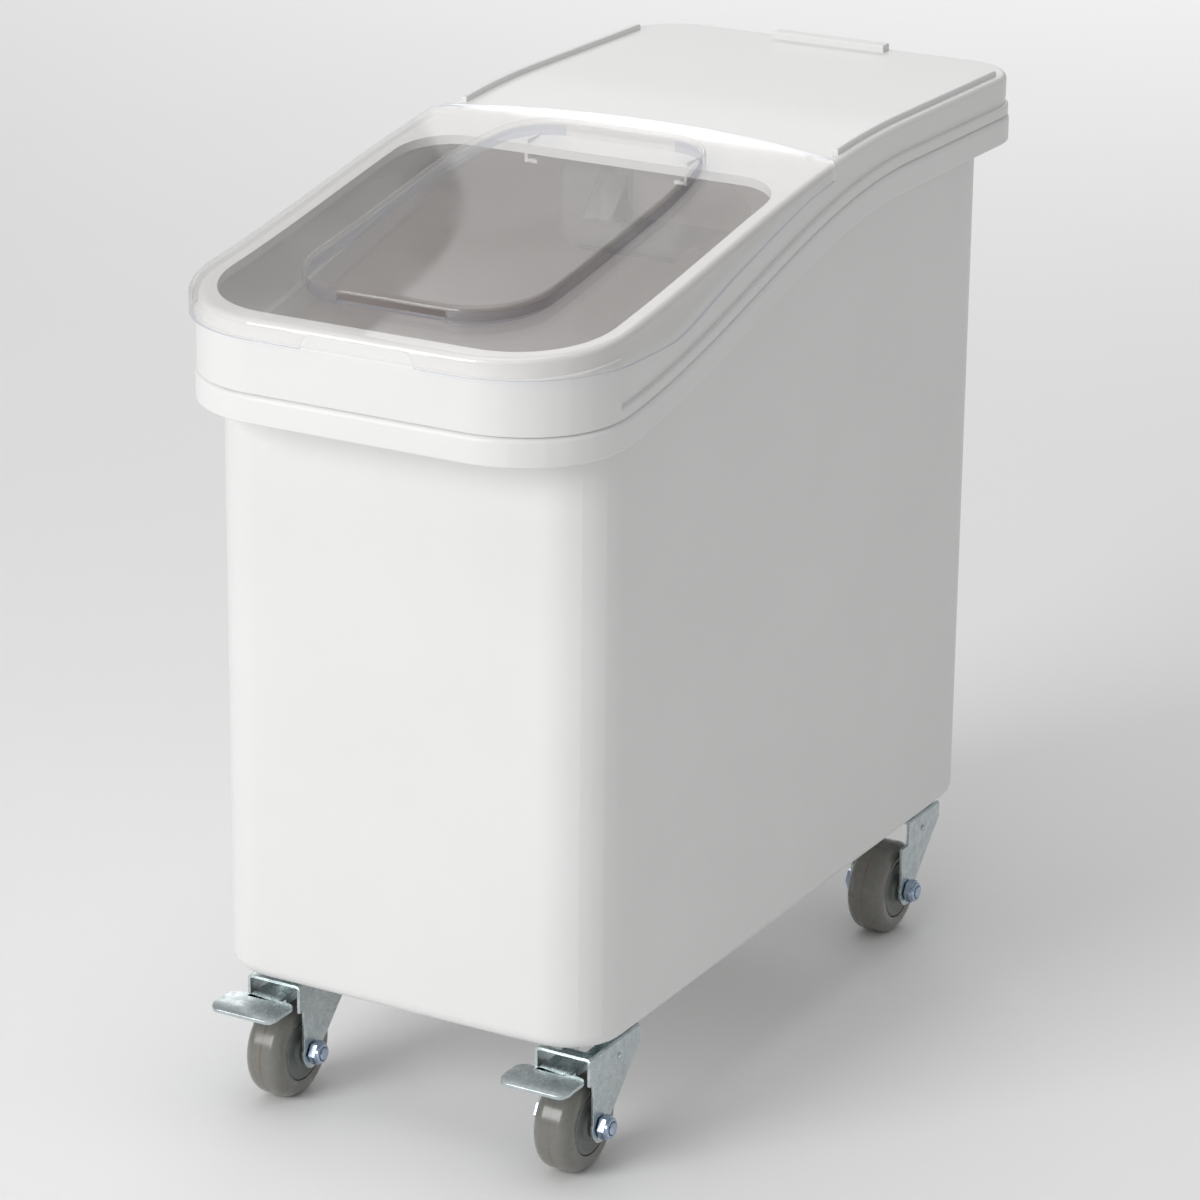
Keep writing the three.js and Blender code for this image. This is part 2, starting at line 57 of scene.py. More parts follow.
TUB_HALF, TUB_LENGTH_HALF, TUB_CORNER, WALL = 166, 318, 47, 4
MOUTH_HALF, MOUTH_FRONT, MOUTH_REAR, MOUTH_CORNER, MOUTH_FRONT_CORNER = 158, -352, -20, 42, 70
SEAM, RIM = 588, 640
SEAM_RISE, SEAM_START, SEAM_RUN = 91, -350, 500
RIM_RISE, RIM_START, RIM_RUN = 71, -440, 590
SKIRT = 630
SKIRT_EDGE = [(-500, 630), (-228, 630), (-205, 635), (-147, 654), (-86, 671), (-24, 687), (100, 706)]
CASTER_X = 126
AXLE_RADIUS, AXLE_HEAD = 5, 9.5
LID_FRONT_CORNER = 92


def place(x, y, z):
    return Vector((x * MM, y * MM + MIDDLE_Y, z * MM))


def spot(point):
    return Vector((point.x / MM, (point.y - MIDDLE_Y) / MM, point.z / MM))


def eased(share):
    share = min(1.0, max(0.0, share))
    return (1 - math.cos(math.pi * share)) / 2


def seam_lift(y):
    return SEAM_RISE * eased((y - SEAM_START) / SEAM_RUN)


def rim_lift(y):
    return RIM_RISE * eased((y - RIM_START) / RIM_RUN)


def skirt_lift(y):
    for (y0, z0), (y1, z1) in zip(SKIRT_EDGE, SKIRT_EDGE[1:]):
        if y0 <= y <= y1:
            return z0 + (z1 - z0) * (y - y0) / (y1 - y0) - SKIRT
    return SKIRT_EDGE[-1][1] - SKIRT


# ------------------------------------------------------------------- tools
def deselect():
    if bpy.context.mode != "OBJECT":
        bpy.ops.object.mode_set(mode="OBJECT")
    bpy.ops.object.select_all(action="DESELECT")


def make_active(piece):
    deselect()
    piece.select_set(True)
    bpy.context.view_layer.objects.active = piece


def edit(piece):
    make_active(piece)
    bpy.ops.object.mode_set(mode="EDIT")


def leave():
    bpy.ops.object.mode_set(mode="OBJECT")


def settle(piece):
    """Puts the place, turn and size of a piece into its mesh."""
    make_active(piece)
    bpy.ops.object.transform_apply(location=True, rotation=True, scale=True)
    return piece


def pick_faces(test):
    """Selects faces by their middle, in millimetres, and their normal."""
    bpy.ops.mesh.select_mode(type="FACE")
    bpy.ops.mesh.select_all(action="DESELECT")
    shape = bpy.context.edit_object.data
    mesh = bmesh.from_edit_mesh(shape)
    for face in mesh.faces:
        if test(spot(face.calc_center_median()), face.normal):
            face.select_set(True)
    bmesh.update_edit_mesh(shape)


def pick_edges(test):
    """Selects edges by their ends, in millimetres, and the angle they turn, in degrees."""
    bpy.ops.mesh.select_mode(type="EDGE")
    bpy.ops.mesh.select_all(action="DESELECT")
    shape = bpy.context.edit_object.data
    mesh = bmesh.from_edit_mesh(shape)
    for edge in mesh.edges:
        first, second = (spot(vertex.co) for vertex in edge.verts)
        if test(first, second, math.degrees(edge.calc_face_angle(0))):
            edge.select_set(True)
    bmesh.update_edit_mesh(shape)


def pick_points(test):
    bpy.ops.mesh.select_mode(type="VERT")
    bpy.ops.mesh.select_all(action="DESELECT")
    shape = bpy.context.edit_object.data
    mesh = bmesh.from_edit_mesh(shape)
    for vertex in mesh.verts:
        if test(spot(vertex.co)):
            vertex.select_set(True)
    bmesh.update_edit_mesh(shape)


def round_edges(piece, radius, steps, test):
    edit(piece)
    pick_edges(test)
    bpy.ops.mesh.bevel(offset=radius * MM, segments=steps, affect="EDGES")
    leave()
    return piece


def upright(first, second, turn):
    """True for an edge that stands straight up, however sharp it is."""
    return abs(first.x - second.x) < 0.01 and abs(first.y - second.y) < 0.01


def at_level(z):
    """The sharp edges that lie round a piece at one height."""
    return lambda first, second, turn: turn > 30 and max(abs(first.z - z), abs(second.z - z)) < 0.01


def block(name, x, y, z, corner=0, steps=12, front_corner=0):
    """A block between two places on each axis, with its upright edges rounded."""
    low, high = place(x[0], y[0], z[0]), place(x[1], y[1], z[1])
    deselect()
    bpy.ops.mesh.primitive_cube_add(size=1, location=(low + high) / 2)
    piece = bpy.context.object
    piece.name = name
    piece.scale = high - low
    settle(piece)
    if front_corner:
        middle = (y[0] + y[1]) / 2
        round_edges(piece, front_corner, 16, lambda a, b, turn: upright(a, b, turn) and a.y < middle)
        round_edges(piece, corner, steps, lambda a, b, turn: upright(a, b, turn) and a.y > middle)
    elif corner:
        round_edges(piece, corner, steps, upright)
    return piece


def rod(name, radius, span, centre, axis="Z", sides=48, start_steps=(), end_steps=(), bore=False):
    """A turned piece: each end is inset step by step as (inwards, outwards), then may be bored."""
    middle = (span[0] + span[1]) / 2
    offset = (0, 0, middle) if axis == "Z" else (middle, 0, 0)
    turn = (0, 0, 0) if axis == "Z" else (0, math.pi / 2, 0)
    deselect()
    bpy.ops.mesh.primitive_cylinder_add(vertices=sides, radius=radius * MM, depth=(span[1] - span[0]) * MM,
                                        location=place(*(c + o for c, o in zip(centre, offset))),
                                        rotation=turn)
    piece = bpy.context.object
    piece.name = name
    settle(piece)
    way = Vector((0, 0, 1)) if axis == "Z" else Vector((1, 0, 0))
    edit(piece)
    for side, steps in ((-1, start_steps), (1, end_steps)):
        pick_faces(lambda middle, normal: normal.dot(way) * side > 0.99)
        for inwards, outwards in steps:
            if inwards:
                bpy.ops.mesh.inset(thickness=inwards * MM, depth=outwards * MM)
            else:
                bpy.ops.mesh.extrude_region_move(
                    TRANSFORM_OT_translate={"value": way * side * outwards * MM})
    if bore:
        line = Vector(centre)

        def end_face(middle, normal):
            away = middle - line
            return abs(normal.dot(way)) > 0.99 and (away - way * away.dot(way)).length < 0.3

        pick_faces(end_face)
        bpy.ops.mesh.bridge_edge_loops()
    leave()
    return piece


def carve(piece, cutter, operation="DIFFERENCE"):
    boolean = piece.modifiers.new("carve", "BOOLEAN")
    boolean.operation = operation
    boolean.solver = "EXACT"
    boolean.object = cutter
    make_active(piece)
    bpy.ops.object.modifier_apply(modifier="carve")
    make_active(cutter)
    bpy.ops.object.delete()
    return piece


def add(piece, other):
    return carve(piece, other, "UNION")


def trim(piece, through, normal):
    """Cuts off what lies on the side of a plane that the normal points to, and closes the cut."""
    edit(piece)
    bpy.ops.mesh.select_all(action="SELECT")
    bpy.ops.mesh.bisect(plane_co=place(*through), plane_no=normal, use_fill=True, clear_outer=True)
    leave()
    return piece


def soften(piece, radius, steps=2, angle=35):
    bevel = piece.modifiers.new("round", "BEVEL")
    bevel.width = radius * MM
    bevel.segments = steps
    bevel.limit_method = "ANGLE"
    bevel.angle_limit = math.radians(angle)
    make_active(piece)
    bpy.ops.object.modifier_apply(modifier="round")
    return piece


def slice_along(piece, start, end, count):
    """Cuts edge loops across the length, so that a straight piece can bend."""
    edit(piece)
    for i in range(count + 1):
        bpy.ops.mesh.select_all(action="SELECT")
        bpy.ops.mesh.bisect(plane_co=place(0, start + (end - start) * i / count, 0), plane_no=(0, 1, 0))
    leave()
    return piece


def bend(piece, low, high, low_lift, high_lift):
    """Lifts a piece with a lattice: below one height by one line, above another by a second."""
    rows, reach = 61, 420
    deselect()
    bpy.ops.object.add(type="LATTICE", location=place(0, 0, (low + high) / 2))
    cage = bpy.context.object
    cage.scale = (1, 2 * reach * MM, (high - low) * MM)
    points = cage.data
    points.points_u, points.points_v, points.points_w = 2, rows, 2
    for axis in "uvw":
        setattr(points, f"interpolation_type_{axis}", "KEY_LINEAR")
    bpy.ops.object.mode_set(mode="EDIT")
    for row in range(rows):
        share = row / (rows - 1) - 0.5
        for layer, lift in ((0, low_lift), (1, high_lift)):
            for number, point in enumerate(points.points):
                point.select = (number // 2) % rows == row and number // (2 * rows) == layer
            rise = lift(2 * reach * share) * MM
            bpy.ops.transform.translate(value=(0, 0, rise))
    leave()
    modifier = piece.modifiers.new("bend", "LATTICE")
    modifier.object = cage
    make_active(piece)
    bpy.ops.object.modifier_apply(modifier="bend")
    make_active(cage)
    bpy.ops.object.delete()
    return piece


def smooth(piece, angle=40):
    make_active(piece)
    bpy.ops.object.shade_smooth_by_angle(angle=math.radians(angle))
    weighted = piece.modifiers.new("even", "WEIGHTED_NORMAL")
    weighted.keep_sharp = True
    bpy.ops.object.modifier_apply(modifier="even")
    return piece


def join(pieces, name):
    deselect()
    for piece in pieces:
        piece.select_set(True)
    bpy.context.view_layer.objects.active = pieces[0]
    bpy.ops.object.join()
    pieces[0].name = name
    return pieces[0]


def copy_to(piece, name, x, y):
    """A copy with its own mesh, moved over the floor."""
    make_active(piece)
    bpy.ops.object.duplicate(linked=False)
    copy = bpy.context.object
    copy.name = name
    bpy.ops.transform.translate(value=(x * MM, y * MM, 0))
    return settle(copy)


def no_lift(y):
    """A level line, for the end of a piece that the lattice leaves where it is."""
    return 0.0


# --------------------------------------------------------------- materials
def start_material(name):
    material = bpy.data.materials.new(name)
    material.use_nodes = True
    nodes = material.node_tree.nodes
    shader = nodes["Principled BSDF"]
    coordinates = nodes.new("ShaderNodeTexCoord")
    return material, nodes, material.node_tree.links, shader, coordinates.outputs["Object"]


def noise(nodes, links, source, scale, detail=3.0, roughness=0.55):
    texture = nodes.new("ShaderNodeTexNoise")
    texture.inputs["Scale"].default_value = scale
    texture.inputs["Detail"].default_value = detail
    texture.inputs["Roughness"].default_value = roughness
    links.new(source, texture.inputs["Vector"])
    return texture.outputs["Fac"]


def remap(nodes, links, source, low, high, out_low, out_high):
    node = nodes.new("ShaderNodeMapRange")
    node.inputs["From Min"].default_value = low
    node.inputs["From Max"].default_value = high
    node.inputs["To Min"].default_value = out_low
    node.inputs["To Max"].default_value = out_high
    links.new(source, node.inputs["Value"])
    return node.outputs["Result"]


def blend_colours(nodes, links, factor, first, second):
    node = nodes.new("ShaderNodeMix")
    node.data_type = "RGBA"
    links.new(factor, node.inputs["Factor"])
    for socket, value in ((node.inputs["A"], first), (node.inputs["B"], second)):
        if isinstance(value, tuple):
            socket.default_value = (*value, 1)
        else:
            links.new(value, socket)
    return node.outputs["Result"]


def bump(nodes, links, shader, height, strength, distance):
    node = nodes.new("ShaderNodeBump")
    node.inputs["Strength"].default_value = strength
    node.inputs["Distance"].default_value = distance
    links.new(height, node.inputs["Height"])
    links.new(node.outputs["Normal"], shader.inputs["Normal"])


def moulded_plastic(name, light, dark, rough_low, rough_high, grain=0.05):
    """Satin moulded plastic: faint cloudy colour, fine grain and a slight orange-peel wave."""
    material, nodes, links, shader, where = start_material(name)
    cloud = noise(nodes, links, where, 7.0, 4.0)
    tone = blend_colours(nodes, links, remap(nodes, links, cloud, 0.3, 0.7, 0, 1), dark, light)
    links.new(tone, shader.inputs["Base Color"])
    scuff = noise(nodes, links, where, 60.0, 5.0, 0.7)
    links.new(remap(nodes, links, scuff, 0.3, 0.7, rough_low, rough_high), shader.inputs["Roughness"])
    fine = noise(nodes, links, where, 700.0, 2.0)
    bump(nodes, links, shader, fine, grain, 0.0001)
    shader.inputs["Specular IOR Level"].default_value = 0.45
    return material


def clear_plastic(name, tint, haze, sheen_rough=0.035):
    """Clear polycarbonate: see-through head on, bright and faintly blue at a glancing angle."""
    material, nodes, links, shader, where = start_material(name)
    weight = nodes.new("ShaderNodeLayerWeight")
    weight.inputs["Blend"].default_value = 0.5
    steep = nodes.new("ShaderNodeMath")
    steep.operation = "POWER"
    steep.inputs[1].default_value = 4.5
    links.new(weight.outputs["Facing"], steep.inputs[0])
    reflected = remap(nodes, links, steep.outputs[0], 0, 1, 0.045, 0.8)
    smear = noise(nodes, links, where, 16.0, 4.0)
    through = nodes.new("ShaderNodeBsdfTransparent")
    through.inputs["Color"].default_value = (*tint, 1)
    gloss = nodes.new("ShaderNodeBsdfGlossy")
    links.new(remap(nodes, links, smear, 0.3, 0.7, sheen_rough, sheen_rough * 2.2),
              gloss.inputs["Roughness"])
    shine = nodes.new("ShaderNodeMixShader")
    links.new(reflected, shine.inputs["Fac"])
    links.new(through.outputs["BSDF"], shine.inputs[1])
    links.new(gloss.outputs["BSDF"], shine.inputs[2])
    shader.inputs["Base Color"].default_value = (0.88, 0.86, 0.86, 1)
    shader.inputs["Roughness"].default_value = 0.25
    veil = nodes.new("ShaderNodeMixShader")
    links.new(remap(nodes, links, smear, 0.25, 0.75, haze * 0.7, haze * 1.3), veil.inputs["Fac"])
    links.new(shine.outputs["Shader"], veil.inputs[1])
    links.new(shader.outputs["BSDF"], veil.inputs[2])
    path = nodes.new("ShaderNodeLightPath")
    open_air = nodes.new("ShaderNodeBsdfTransparent")
    open_air.inputs["Color"].default_value = (*tint, 1)
    final = nodes.new("ShaderNodeMixShader")
    links.new(path.outputs["Is Shadow Ray"], final.inputs["Fac"])
    links.new(veil.outputs["Shader"], final.inputs[1])
    links.new(open_air.outputs["BSDF"], final.inputs[2])
    links.new(final.outputs["Shader"], nodes["Material Output"].inputs["Surface"])
    return material


def zinc_plate(name, light, dark, rough_low, rough_high):
    """Zinc plate: mottled bright metal with soft rolling marks."""
    material, nodes, links, shader, where = start_material(name)
    mottle = noise(nodes, links, where, 120.0, 5.0, 0.65)
    tone = blend_colours(nodes, links, remap(nodes, links, mottle, 0.32, 0.68, 0, 1), dark, light)
    links.new(tone, shader.inputs["Base Color"])
    shader.inputs["Metallic"].default_value = 1.0
    links.new(remap(nodes, links, mottle, 0.3, 0.7, rough_high, rough_low), shader.inputs["Roughness"])
    stretch = nodes.new("ShaderNodeMapping")
    stretch.inputs["Scale"].default_value = (900, 120, 900)
    links.new(where, stretch.inputs["Vector"])
    marks = noise(nodes, links, stretch.outputs["Vector"], 1.0, 3.0)
    bump(nodes, links, shader, marks, 0.12, 0.0001)
    return material


def wheel_urethane():
    """Grey polyurethane with a faint brown parting line round the middle of the tread."""
    material, nodes, links, shader, where = start_material("wheel_urethane")
    split = nodes.new("ShaderNodeSeparateXYZ")
    links.new(where, split.inputs["Vector"])
    side = nodes.new("ShaderNodeMath")
    side.operation = "ABSOLUTE"
    links.new(split.outputs["X"], side.inputs[0])
    offset = nodes.new("ShaderNodeMath")
    offset.operation = "SUBTRACT"
    offset.inputs[1].default_value = CASTER_X * MM
    links.new(side.outputs[0], offset.inputs[0])
    distance = nodes.new("ShaderNodeMath")
    distance.operation = "ABSOLUTE"
    links.new(offset.outputs[0], distance.inputs[0])
    line = remap(nodes, links, distance.outputs[0], 0.0004, 0.0011, 1, 0)
    patchy = noise(nodes, links, where, 45.0, 4.0)
    worn = nodes.new("ShaderNodeMath")
    worn.operation = "MULTIPLY"
    links.new(line, worn.inputs[0])
    links.new(remap(nodes, links, patchy, 0.4, 0.62, 0.15, 0.75), worn.inputs[1])
    cloud = noise(nodes, links, where, 30.0, 4.0)
    grey = blend_colours(nodes, links, cloud, (0.175, 0.172, 0.155), (0.225, 0.222, 0.205))
    tone = blend_colours(nodes, links, worn.outputs[0], grey, (0.17, 0.10, 0.045))
    links.new(tone, shader.inputs["Base Color"])
    links.new(remap(nodes, links, patchy, 0.3, 0.7, 0.2, 0.34), shader.inputs["Roughness"])
    shader.inputs["Coat Weight"].default_value = 0.35
    shader.inputs["Coat Roughness"].default_value = 0.12
    fine = noise(nodes, links, where, 500.0, 3.0)
    bump(nodes, links, shader, fine, 0.1, 0.0002)
    return material


TUB_WHITE = moulded_plastic("tub_white", (0.85, 0.845, 0.84), (0.825, 0.82, 0.815), 0.36, 0.42)
# Painted glow: the same white plastic, painted lighter and warmer inside the tub to stand in for light
# shining through its translucent walls.
TUB_INSIDE_PAINTED_GLOW = moulded_plastic("tub_inside_painted_glow", (0.95, 0.895, 0.875), (0.93, 0.875, 0.855), 0.42, 0.52)
FRAME_WHITE = moulded_plastic("frame_white", (0.835, 0.833, 0.825), (0.825, 0.823, 0.815), 0.35, 0.36, 0.02)
LID_CLEAR = clear_plastic("lid_clear", (0.985, 0.983, 0.98), 0.07)
LID_EDGE = clear_plastic("lid_edge", (0.70, 0.73, 0.83), 0.16)
SCOOP_CLEAR = clear_plastic("scoop_clear", (0.965, 0.96, 0.955), 0.10)
ZINC = zinc_plate("zinc_plate", (0.66, 0.72, 0.73), (0.50, 0.56, 0.57), 0.20, 0.36)
BLUE_ZINC = zinc_plate("blue_zinc", (0.55, 0.65, 0.80), (0.38, 0.47, 0.62), 0.16, 0.30)
HUB_GREY = moulded_plastic("hub_grey", (0.20, 0.215, 0.20), (0.16, 0.175, 0.165), 0.32, 0.44)
TYRE_GREY = wheel_urethane()


def paint(piece, *materials):
    piece.data.materials.clear()
    for material in materials:
        piece.data.materials.append(material)


def paint_faces(piece, index, chosen):
    for face in piece.data.polygons:
        if chosen(spot(face.center), face.normal):
            face.material_index = index


def ship(piece, body, slot, *nodes):
    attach(piece, body)
    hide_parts(*nodes)


# --------------------------------------------------------------------- tub
def rim_block(name, inset, low, high):
    half, length = RIM_HALF - inset, RIM_LENGTH_HALF - inset
    return block(name, (-half, half), (-length, length), (low, high), RIM_CORNER - inset, 12,
                 RIM_FRONT_CORNER - inset)


def tub_block(name, inset, low, high):
    half, length = TUB_HALF - inset, TUB_LENGTH_HALF - inset
    return block(name, (-half, half), (-length, length), (low, high), TUB_CORNER - inset)


def build_tub():
    collar = rim_block("tub_shell", 0, SEAM - 22, SEAM)
    round_edges(collar, 5, 5, at_level(SEAM))
    round_edges(collar, 1.6, 3, at_level(SEAM - 22))
    under = rim_block("collar_hollow", WALL, SEAM - 40, SEAM - WALL)
    round_edges(under, 1.5, 2, at_level(SEAM - WALL))
    carve(collar, under)
    walls = tub_block("tub_walls", 0, FLOOR_Z, SEAM - 1)
    round_edges(walls, 11, 6, at_level(FLOOR_Z))
    tub = add(collar, walls)
    hollow = tub_block("tub_hollow", WALL, FLOOR_Z + WALL, SEAM + 20)
    round_edges(hollow, 14, 6, at_level(FLOOR_Z + WALL))
    carve(tub, hollow)
    soften(tub, 0.8, 2, 50)
    slice_along(tub, -364, 364, 52)
    bend(tub, 542, 562, no_lift, seam_lift)
    smooth(tub)
    paint(tub, TUB_WHITE, TUB_INSIDE_PAINTED_GLOW)

    # Picks the inner walls and floor that get the painted glow of light through the walls.
    def painted_glow_faces(middle, normal):
        within = abs(middle.x) < TUB_HALF - 1 and abs(middle.y) < TUB_LENGTH_HALF - 1
        inward = middle.x * normal.x < -1 or middle.y * normal.y < -1 or normal.z > 0.9
        return within and inward and middle.z > FLOOR_Z + 2

    paint_faces(tub, 1, painted_glow_faces)
    ship(tub, "bin", "tub_plastic", "bin_tub")


# --------------------------------------------------------------- top frame
def build_frame():
    lip, wall, base = 1, 3.2, SEAM + 0.4
    shell = rim_block("frame_shell", wall, base, RIM)
    round_edges(shell, 4.5, 5, at_level(RIM))
    groove = rim_block("groove_outer", -5, SEAM + 9, SEAM + 13)
    carve(groove, rim_block("groove_inner", wall + 0.7, SEAM, SEAM + 30))
    carve(shell, groove)
    band = rim_block("lip_band", lip, base, SEAM + 8)
    round_edges(band, 1.6, 3, at_level(SEAM + 8))
    add(shell, band)
    flush = rim_block("flush_band", lip, base, RIM - 14)
    round_edges(flush, 1.2, 2, at_level(RIM - 14))
    trim(flush, (0, -296, 0), (0, 1, 0))
    add(shell, flush)
    carve(shell, rim_block("frame_hollow", 6.7, SEAM + 3.9, RIM - 4))
    lip_block = block("mouth_lip", (-MOUTH_HALF - 3, MOUTH_HALF + 3), (MOUTH_FRONT - 3, MOUTH_REAR + 3),
                      (RIM - 7, RIM - 2), MOUTH_CORNER + 3, 12, MOUTH_FRONT_CORNER + 3)
    add(shell, lip_block)
    add(shell, tub_block("spigot", WALL + 0.3, SEAM - 14, SEAM + 5))
    carve(shell, tub_block("spigot_hollow", WALL + 3.3, SEAM - 30, SEAM + 6))
    mouth = block("mouth", (-MOUTH_HALF, MOUTH_HALF), (MOUTH_FRONT, MOUTH_REAR), (SEAM + 10, RIM + 30),
                  MOUTH_CORNER, 12, MOUTH_FRONT_CORNER)
    carve(shell, mouth)
    soften(shell, 1.1, 3, 50)
    slice_along(shell, -364, 364, 52)
    bend(shell, 602, 622, seam_lift, rim_lift)
    pieces = [shell]
    for side, name in ((-1, "track_left"), (1, "track_right")):
        track = block(name, (side * 161 - 2.5, side * 161 + 2.5), (44, 322), (RIM - 2, RIM + 4.5))
        round_edges(track, 1.8, 3, at_level(RIM + 4.5))
        slice_along(track, 50, 316, 26)
        pieces.append(bend(track, 602, 622, rim_lift, rim_lift))
    tab_low = RIM + RIM_RISE - 2
    tab = block("stop_tab", (-50, 50), (350, 361), (tab_low, tab_low + 8))
    pieces.append(round_edges(tab, 1.6, 4, at_level(tab_low + 8)))
    for side, name in ((1, "hook_right"), (-1, "hook_left")):
        leg = block(name, sorted((side * 67, side * 70)), (-18, 92), (683, 701))
        foot = block("foot", sorted((side * 59, side * 68)), (-18, 92), (683, 686))
        rail = soften(add(leg, foot), 0.6)
        pieces.append(rail)
    pieces.append(soften(block("catch_tab", (-12, 12), (-18, -10), (690.5, 696)), 1))
    for piece in pieces:
        paint(smooth(piece, 50), FRAME_WHITE)
        ship(piece, "frame", "frame_plastic", "top_frame")


# --------------------------------------------------------------------- lid
LID_HALF, LID_FRONT, LID_SIDE_REAR, LID_ARCH = 176, -377, 28, 30
SHEET, UNDER, LIFT = 3, 0.5, 11
SHEET_TOP = RIM + UNDER + SHEET
PANEL_TOP = RIM + LIFT + SHEET


def lid_sheet():
    """The outline with its arched rear, a rounded shoulder, and a skirt left round a hollow."""
    lid = block("lid_shell", (-LID_HALF, LID_HALF), (LID_FRONT, LID_SIDE_REAR), (SKIRT, SHEET_TOP))
    round_edges(lid, LID_FRONT_CORNER, 18, lambda a, b, turn: upright(a, b, turn) and a.y < LID_FRONT + 1)
    edit(lid)
    columns = [-118 + 236 * i / 14 for i in range(15)]
    for x in columns:
        bpy.ops.mesh.select_all(action="SELECT")
        bpy.ops.mesh.bisect(plane_co=place(x, 0, 0), plane_no=(1, 0, 0))
    for x in columns:
        pick_points(lambda point: abs(point.x - x) < 0.1 and point.y > LID_SIDE_REAR - 1)
        arch = LID_ARCH * (1 - (x / LID_HALF) ** 2)
        bpy.ops.transform.translate(value=(0, arch * MM, 0))
    leave()
    round_edges(lid, 14, 6, lambda a, b, turn: upright(a, b, turn) and turn > 30 and a.y > 20)
    edit(lid)
    pick_faces(lambda middle, normal: normal.z < -0.9)
    for inwards, upwards in ((2.5, 0), (0, 7.5), (0.7, 2), (1.8, 1)):
        if inwards:
            bpy.ops.mesh.inset(thickness=inwards * MM, depth=-upwards * MM)
        else:
            bpy.ops.mesh.extrude_region_move(TRANSFORM_OT_translate={"value": (0, 0, upwards * MM)})
    leave()
    round_edges(lid, 4.6, 5, at_level(SHEET_TOP))
    carve(lid, block("rear_clearance", (-200, 200), (18, 90), (600, RIM + UNDER)))
    return lid


def panel_block(name, inset, low, high):
    """A shield: wide and square in front, drawn in towards the rear."""
    side = 100 - inset
    panel = block(name, (-side, side), (-322 + inset, 8 - inset), (low, high))
    edit(panel)
    bpy.ops.mesh.select_all(action="SELECT")
    bpy.ops.mesh.bisect(plane_co=place(0, -70, 0), plane_no=(0, 1, 0))
    pick_points(lambda point: point.y > 0 - inset)
    bpy.ops.transform.resize(value=(0.80, 1, 1))
    leave()
    round_edges(panel, 58 - inset, 12, lambda a, b, turn: upright(a, b, turn) and a.y < -300)
    round_edges(panel, 34 - inset, 8, lambda a, b, turn: upright(a, b, turn) and a.y > -10)
    round_edges(panel, 40, 6, lambda a, b, turn: upright(a, b, turn) and abs(a.y + 70) < 1 and turn > 5)
    return panel


def build_lid():
    lid = lid_sheet()
    panel = panel_block("panel", 0, SHEET_TOP - 1, PANEL_TOP)
    round_edges(panel, 3.4, 5, at_level(PANEL_TOP))
    add(lid, panel)
    hollow = panel_block("panel_hollow", 3, RIM - 5, RIM + LIFT)
    round_edges(hollow, 2, 3, at_level(RIM + LIFT))
    carve(lid, hollow)
    window = block("window", (-45, 45), (-330, -314), (RIM + 4.2, RIM + 10.2))
    carve(lid, soften(window, 1.6, 3))
    notch = block("notch", (-40, 52), (-390, -366), (600, SKIRT + 9))
    round_edges(notch, 8, 6, lambda a, b, turn: abs(a.z - SKIRT - 9) < 0.1 and abs(a.x - b.x) < 0.1
                and abs(b.z - SKIRT - 9) < 0.1)
    carve(lid, notch)
    soften(lid, 0.5, 2, 50)
    slice_along(lid, -372, 54, 44)
    bend(lid, 632, 638, skirt_lift, rim_lift)
    for side in (-1, 1):
        height = SHEET_TOP + rim_lift(22)
        add(lid, rod("stud", 2.8, (-1, 0.6), (side * 151, 22, height), "Z", 20, (), ((0.6, 0.5), (0.8, 0.3))))
    smooth(lid)
    paint(lid, LID_CLEAR, LID_EDGE)

    def edge_tint(middle, normal):
        level = middle.z - RIM - rim_lift(middle.y)
        window_sill = abs(middle.x) < 46 and -327 < middle.y < -315 and 3 < level < 5.5
        skirt_edge = level < -3 and normal.z < -0.5
        rear_edge = middle.y > LID_SIDE_REAR - 4 and abs(normal.z) < 0.6 and level < SHEET + 1
        panel_foot = abs(middle.x) < 103 and -325 < middle.y < 12 and 3.4 < level < 5 and abs(normal.z) < 0.9
        return window_sill or skirt_edge or rear_edge or panel_foot

    paint_faces(lid, 1, edge_tint)
    ship(lid, "lid", "lid_clear", "sliding_lid")


# ------------------------------------------------------------------- scoop
BOWL_LOW, BOWL_TOP = 612, 689


def bowl_block(name, inset, top):
    """A deep bowl with a round belly and heel, whose mouth slants up behind."""
    side = 55 - inset
    rear = 114 + (6 if inset else 0)
    bowl = block(name, (-side, side), (2 + inset, rear), (BOWL_LOW + inset, top))
    low = BOWL_LOW + inset
    round_edges(bowl, 12 - inset, 6, lambda a, b, turn: upright(a, b, turn) and a.y < 20)
    round_edges(bowl, 18 - inset, 8, lambda a, b, turn: turn > 30
                and max(abs(a.z - low), abs(b.z - low)) < 0.01 and min(a.y, b.y) < 112)
    return bowl


def build_scoop():
    bowl = bowl_block("scoop_bowl", 0, BOWL_TOP)
    flange = block("flange", (-64, 64), (2, 84), (BOWL_TOP - 2, BOWL_TOP), 3, 4)
    add(bowl, flange)
    carve(bowl, bowl_block("bowl_hollow", 2, BOWL_TOP + 6))
    trim(bowl, (0, 114, 634), (0, 55, 34))
    soften(bowl, 0.5, 2, 50)
    grip = scoop_grip()
    for piece in (smooth(bowl), smooth(grip)):
        paint(piece, SCOOP_CLEAR)
        ship(piece, "scoop", "scoop_clear", "scoop")


